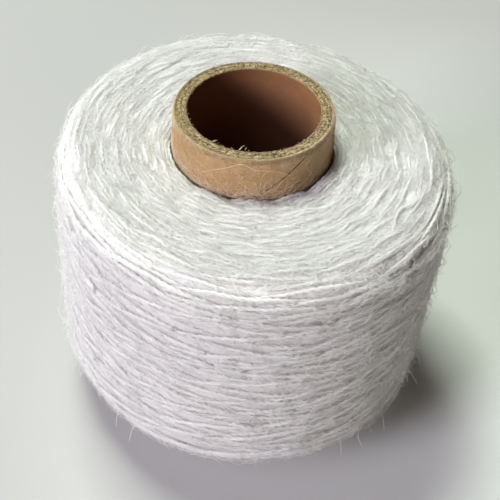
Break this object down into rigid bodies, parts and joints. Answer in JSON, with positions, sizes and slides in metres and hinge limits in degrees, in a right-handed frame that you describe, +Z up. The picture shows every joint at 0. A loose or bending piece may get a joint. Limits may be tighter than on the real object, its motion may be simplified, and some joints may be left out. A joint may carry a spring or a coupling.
{
  "type": "thread spool",
  "caption": "Spool of white twisted thread: a cross-wound cylindrical package on a spiral-wound paper tube that stands proud at both ends and takes a spindle through its bore.",
  "frame": {"origin": "centre of the paper tube's lower end, on its axis", "axes": "+Z up along the tube's axis, +X to the right and -Y towards the viewer"},
  "size_m": [0.078, 0.078, 0.07],
  "materials": {
    "liner_paper": "matte red-brown paper",
    "grey_board": "mottled recycled board, cut edge",
    "kraft_paper": "matte tan kraft paper",
    "thread": "fuzzy twisted thread with loose fibres"
  },
  "bodies": {
    "root": {"inner_liner": "liner_paper", "board_ply_1": "grey_board", "board_ply_2": "grey_board", "board_ply_3": "grey_board", "outer_wrap": "kraft_paper", "wound_body": "thread", "end_turns": "thread", "side_turns": "thread"}
  },
  "joints": []
}
